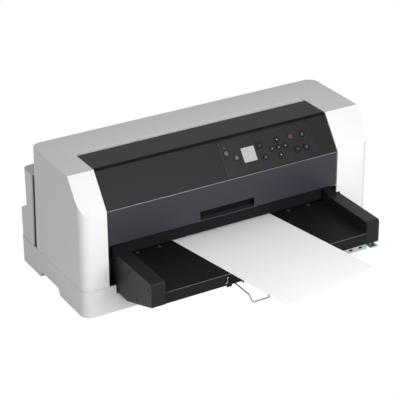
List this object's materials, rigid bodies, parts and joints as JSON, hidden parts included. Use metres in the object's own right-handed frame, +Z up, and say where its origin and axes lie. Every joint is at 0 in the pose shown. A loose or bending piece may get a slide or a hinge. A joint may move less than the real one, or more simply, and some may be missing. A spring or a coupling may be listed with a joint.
{
  "type": "dot matrix printer",
  "caption": "Wide flatbed dot matrix printer: grey case, hinged black cover with control panel, front paper tray with side guides, and printing works inside.",
  "frame": {"origin": "centre of the bounding box in plan, on the plane of the foot bottoms; this is the middle of the grey case's front face", "axes": "X to the machine's right as its user faces it, Y from the tray towards the rear, Z up"},
  "size_m": [0.639, 0.574, 0.281],
  "materials": {
    "case_grey": "fine matte moulded plastic",
    "black_plastic": "satin black moulded plastic",
    "window_blue": "dark blue-black smoked plastic",
    "trim_silver": "thin bright trim",
    "panel_black": "matte black",
    "display_pale": "pale grey screen and lamp lens",
    "key_blue": "bluish grey cap",
    "key_grey": "warm grey cap",
    "key_black": "matte black cap",
    "key_orange": "brown-orange cap",
    "steel": "zinc-plated steel",
    "wire_bright": "bright wire",
    "rubber_black": "black rubber",
    "gear_white": "natural nylon",
    "brass": "plain brass",
    "motor_black": "black painted motor",
    "head_alloy": "cast alloy",
    "board_green": "green circuit board",
    "knob_blue": "blue plastic",
    "paper_white": "plain white paper"
  },
  "bodies": {
    "machine": {"lower_case": "case_grey", "upper_case": "case_grey", "rear_housing": "case_grey", "rubber_feet": "rubber_black", "case_screws": "steel", "ac_inlet": "black_plastic", "interface_ports": "steel", "paper_tray": "black_plastic", "left_guide": "black_plastic", "right_guide": "black_plastic", "wire_clip": "wire_bright", "tray_bracket": "steel", "mouth_strip": "black_plastic", "chassis": "steel", "side_frames": "steel", "platen": "steel", "feed_motor": "motor_black", "carriage_shaft": "steel", "carriage_rail": "steel", "carriage_motor": "motor_black", "carriage_belt": "rubber_black", "ribbon_cartridge": "black_plastic", "main_board": "board_green", "power_supply": "steel", "tractors": "black_plastic"},
    "cover": {"top_cover": "black_plastic", "front_window": "window_blue", "trim_strip": "trim_silver", "control_panel": "panel_black", "display_lens": "display_pale"},
    "power_key": {"power_button": "key_blue"},
    "home_key": {"home_button": "key_grey"},
    "back_key": {"back_button": "key_black"},
    "menu_key": {"menu_button": "key_black"},
    "up_key": {"up_button": "key_black"},
    "down_key": {"down_button": "key_black"},
    "left_key": {"left_button": "key_black"},
    "right_key": {"right_button": "key_black"},
    "ok_key": {"ok_button": "key_black"},
    "stop_key": {"stop_button": "key_orange"},
    "load_key": {"load_button": "key_black"},
    "tear_off_key": {"tear_off_button": "key_black"},
    "line_feed_key": {"line_feed_button": "key_black"},
    "rear_flap": {"rear_cover": "case_grey"},
    "wire": {"wire_support": "wire_bright"},
    "mouth_axle": {"mouth_rollers": "rubber_black"},
    "front_roller": {"front_feed_roller": "rubber_black", "front_gear": "gear_white"},
    "rear_roller": {"rear_feed_roller": "rubber_black", "rear_gear": "gear_white"},
    "pinion": {"motor_pinion": "brass"},
    "idler": {"idler_gear": "gear_white"},
    "tractor_drive": {"tractor_shaft": "steel"},
    "pinch": {"pinch_rollers": "rubber_black"},
    "head_carriage": {"carriage": "black_plastic", "print_head": "head_alloy"},
    "belt_drive": {"drive_pulley": "brass"},
    "belt_idler": {"idler_pulley": "gear_white"},
    "knob": {"ribbon_knob": "knob_blue"},
    "sheet": {"paper_sheet": "paper_white"}
  },
  "joints": [
    {"name": "cover_hinge", "type": "hinge", "parent": "machine", "child": "cover", "pos_m": [-0.0115, 0.1148, 0.2762], "axis": [-1, 0, 0], "range_deg": [0, 65]},
    {"name": "rear_flap_hinge", "type": "hinge", "parent": "machine", "child": "rear_flap", "pos_m": [0, 0.22001, 0.211], "axis": [1, 0, 0], "range_deg": [0, 80]},
    {"name": "power_press", "type": "slide", "parent": "cover", "child": "power_key", "axis": [0, 0.8134, -0.5817], "range_m": [0, 0.0008], "stiffness_N_per_m": 400, "springref_m": -0.002},
    {"name": "home_press", "type": "slide", "parent": "cover", "child": "home_key", "axis": [0, 0.8134, -0.5817], "range_m": [0, 0.0008], "stiffness_N_per_m": 400, "springref_m": -0.002},
    {"name": "back_press", "type": "slide", "parent": "cover", "child": "back_key", "axis": [0, 0.8134, -0.5817], "range_m": [0, 0.0008], "stiffness_N_per_m": 400, "springref_m": -0.002},
    {"name": "menu_press", "type": "slide", "parent": "cover", "child": "menu_key", "axis": [0, 0.8134, -0.5817], "range_m": [0, 0.0008], "stiffness_N_per_m": 400, "springref_m": -0.002},
    {"name": "up_press", "type": "slide", "parent": "cover", "child": "up_key", "axis": [0, 0.8134, -0.5817], "range_m": [0, 0.0008], "stiffness_N_per_m": 400, "springref_m": -0.002},
    {"name": "down_press", "type": "slide", "parent": "cover", "child": "down_key", "axis": [0, 0.8134, -0.5817], "range_m": [0, 0.0008], "stiffness_N_per_m": 400, "springref_m": -0.002},
    {"name": "left_press", "type": "slide", "parent": "cover", "child": "left_key", "axis": [0, 0.8134, -0.5817], "range_m": [0, 0.0008], "stiffness_N_per_m": 400, "springref_m": -0.002},
    {"name": "right_press", "type": "slide", "parent": "cover", "child": "right_key", "axis": [0, 0.8134, -0.5817], "range_m": [0, 0.0008], "stiffness_N_per_m": 400, "springref_m": -0.002},
    {"name": "ok_press", "type": "slide", "parent": "cover", "child": "ok_key", "axis": [0, 0.8134, -0.5817], "range_m": [0, 0.0008], "stiffness_N_per_m": 400, "springref_m": -0.002},
    {"name": "stop_press", "type": "slide", "parent": "cover", "child": "stop_key", "axis": [0, 0.8134, -0.5817], "range_m": [0, 0.0008], "stiffness_N_per_m": 400, "springref_m": -0.002},
    {"name": "load_press", "type": "slide", "parent": "cover", "child": "load_key", "axis": [0, 0.8134, -0.5817], "range_m": [0, 0.0008], "stiffness_N_per_m": 400, "springref_m": -0.002},
    {"name": "tear_off_press", "type": "slide", "parent": "cover", "child": "tear_off_key", "axis": [0, 0.8134, -0.5817], "range_m": [0, 0.0008], "stiffness_N_per_m": 400, "springref_m": -0.002},
    {"name": "line_feed_press", "type": "slide", "parent": "cover", "child": "line_feed_key", "axis": [0, 0.8134, -0.5817], "range_m": [0, 0.0008], "stiffness_N_per_m": 400, "springref_m": -0.002},
    {"name": "wire_slide", "type": "slide", "parent": "machine", "child": "wire", "axis": [0, 1, 0], "range_m": [0, 0.05]},
    {"name": "mouth_roll", "type": "hinge", "parent": "machine", "child": "mouth_axle", "pos_m": [0, 0.027, 0.0946], "axis": [1, 0, 0], "continuous": true},
    {"name": "feed_turn", "type": "hinge", "parent": "machine", "child": "front_roller", "pos_m": [0, 0.062, 0.088], "axis": [1, 0, 0], "continuous": true},
    {"name": "rear_feed_turn", "type": "hinge", "parent": "machine", "child": "rear_roller", "pos_m": [0, 0.15, 0.088], "axis": [1, 0, 0], "continuous": true},
    {"name": "pinion_turn", "type": "hinge", "parent": "machine", "child": "pinion", "pos_m": [0.28, 0.106, 0.088], "axis": [1, 0, 0], "continuous": true},
    {"name": "idler_turn", "type": "hinge", "parent": "machine", "child": "idler", "pos_m": [0.28, 0.194, 0.088], "axis": [1, 0, 0], "continuous": true},
    {"name": "tractor_turn", "type": "hinge", "parent": "machine", "child": "tractor_drive", "pos_m": [0, 0.238, 0.088], "axis": [1, 0, 0], "continuous": true},
    {"name": "pinch_turn", "type": "hinge", "parent": "machine", "child": "pinch", "pos_m": [0, 0.062, 0.1089], "axis": [1, 0, 0], "continuous": true},
    {"name": "carriage_slide", "type": "slide", "parent": "machine", "child": "head_carriage", "axis": [1, 0, 0], "range_m": [-0.19, 0.19]},
    {"name": "drive_pulley_turn", "type": "hinge", "parent": "machine", "child": "belt_drive", "pos_m": [-0.2467, 0.2, 0.138], "axis": [0, 0, 1], "range_deg": [-1200, 1200]},
    {"name": "idler_pulley_turn", "type": "hinge", "parent": "machine", "child": "belt_idler", "pos_m": [0.2467, 0.2, 0.138], "axis": [0, 0, 1], "range_deg": [-1200, 1200]},
    {"name": "ribbon_knob_turn", "type": "hinge", "parent": "machine", "child": "knob", "pos_m": [0.205, 0.057, 0.16], "axis": [0, 0, 1], "continuous": true},
    {"name": "sheet_slide", "type": "slide", "parent": "machine", "child": "sheet", "axis": [0, 1, 0], "range_m": [-0.08, 0.1]}
  ],
  "couplings": [
    {"joint": "rear_feed_turn", "follows": "feed_turn", "ratio": 1},
    {"joint": "pinion_turn", "follows": "feed_turn", "ratio": -2.6667},
    {"joint": "idler_turn", "follows": "feed_turn", "ratio": -2.6667},
    {"joint": "tractor_turn", "follows": "feed_turn", "ratio": 1},
    {"joint": "pinch_turn", "follows": "feed_turn", "ratio": -1.5},
    {"joint": "drive_pulley_turn", "follows": "carriage_slide", "rad_per_m": 109.89},
    {"joint": "idler_pulley_turn", "follows": "carriage_slide", "rad_per_m": 109.89}
  ]
}
